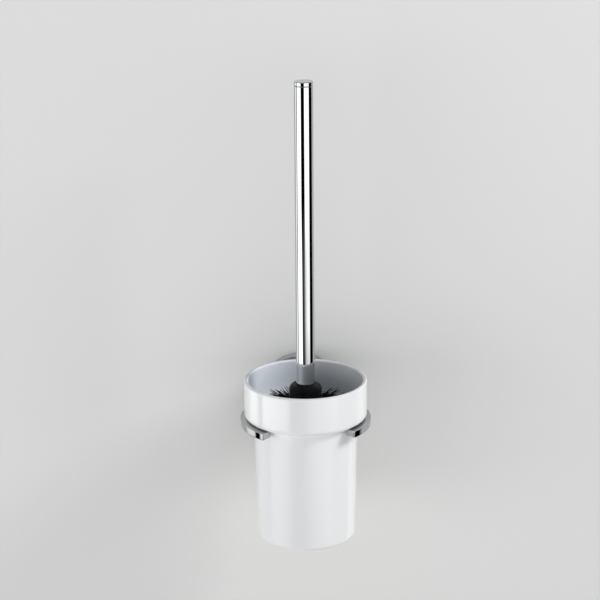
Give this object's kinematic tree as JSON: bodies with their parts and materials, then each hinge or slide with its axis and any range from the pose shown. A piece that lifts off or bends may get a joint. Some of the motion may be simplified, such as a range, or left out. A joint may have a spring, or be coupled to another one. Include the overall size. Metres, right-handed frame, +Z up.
{
  "type": "toilet brush holder",
  "caption": "Wall-mounted toilet brush set: round rosette, open ring, stepped ceramic cup and a long-handled brush with a black head.",
  "frame": {"origin": "centre of the wall plate's back face, on the wall, at the middle height of the ring", "axes": "+X to the right, +Y into the wall, +Z up along the handle"},
  "size_m": [0.109, 0.1272, 0.388],
  "materials": {
    "chrome": "polished chrome plate",
    "handle_chrome": "polished chrome plate on steel tube",
    "steel": "plain stainless steel",
    "brass": "turned brass",
    "glaze": "white gloss glaze",
    "head_plastic": "black moulded plastic, satin",
    "bristle": "black nylon filaments",
    "black_rubber": "black rubber",
    "silicone": "clear silicone"
  },
  "bodies": {
    "holder": {"wall_plate": "steel", "rosette": "chrome", "arm": "chrome", "holder_ring": "chrome", "grub_screw": "steel", "ring_pads": "silicone"},
    "cup": {"cup": "glaze"},
    "brush_head": {"head_core": "head_plastic", "head_stud": "steel", "tuft_row_01": "bristle", "tuft_row_02": "bristle", "tuft_row_03": "bristle", "tuft_row_04": "bristle", "tuft_row_05": "bristle", "tuft_row_06": "bristle", "tuft_row_07": "bristle", "tuft_row_08": "bristle", "tuft_row_09": "bristle", "tuft_row_10": "bristle", "tuft_row_11": "bristle", "end_tufts": "bristle"},
    "washer": {"sealing_washer": "black_rubber"},
    "handle": {"handle_tube": "handle_chrome", "handle_bush": "brass", "handle_cap": "handle_chrome", "cap_o_ring": "black_rubber"}
  },
  "joints": [
    {"name": "cup_lift", "type": "slide", "parent": "holder", "child": "cup", "axis": [0, 0, 1], "range_m": [0, 0.112]},
    {"name": "brush_lift", "type": "slide", "parent": "cup", "child": "brush_head", "axis": [0, 0, 1], "range_m": [0, 0.14]},
    {"name": "washer_rise", "type": "slide", "parent": "brush_head", "child": "washer", "axis": [0, 0, 1], "range_m": [0, 0.014]},
    {"name": "handle_turn", "type": "hinge", "parent": "washer", "child": "handle", "pos_m": [0, -0.076, 0.03], "axis": [0, 0, 1], "range_deg": [0, 3960]}
  ],
  "couplings": [
    {"joint": "washer_rise", "follows": "handle_turn", "m_per_rad": 0.00019894}
  ]
}
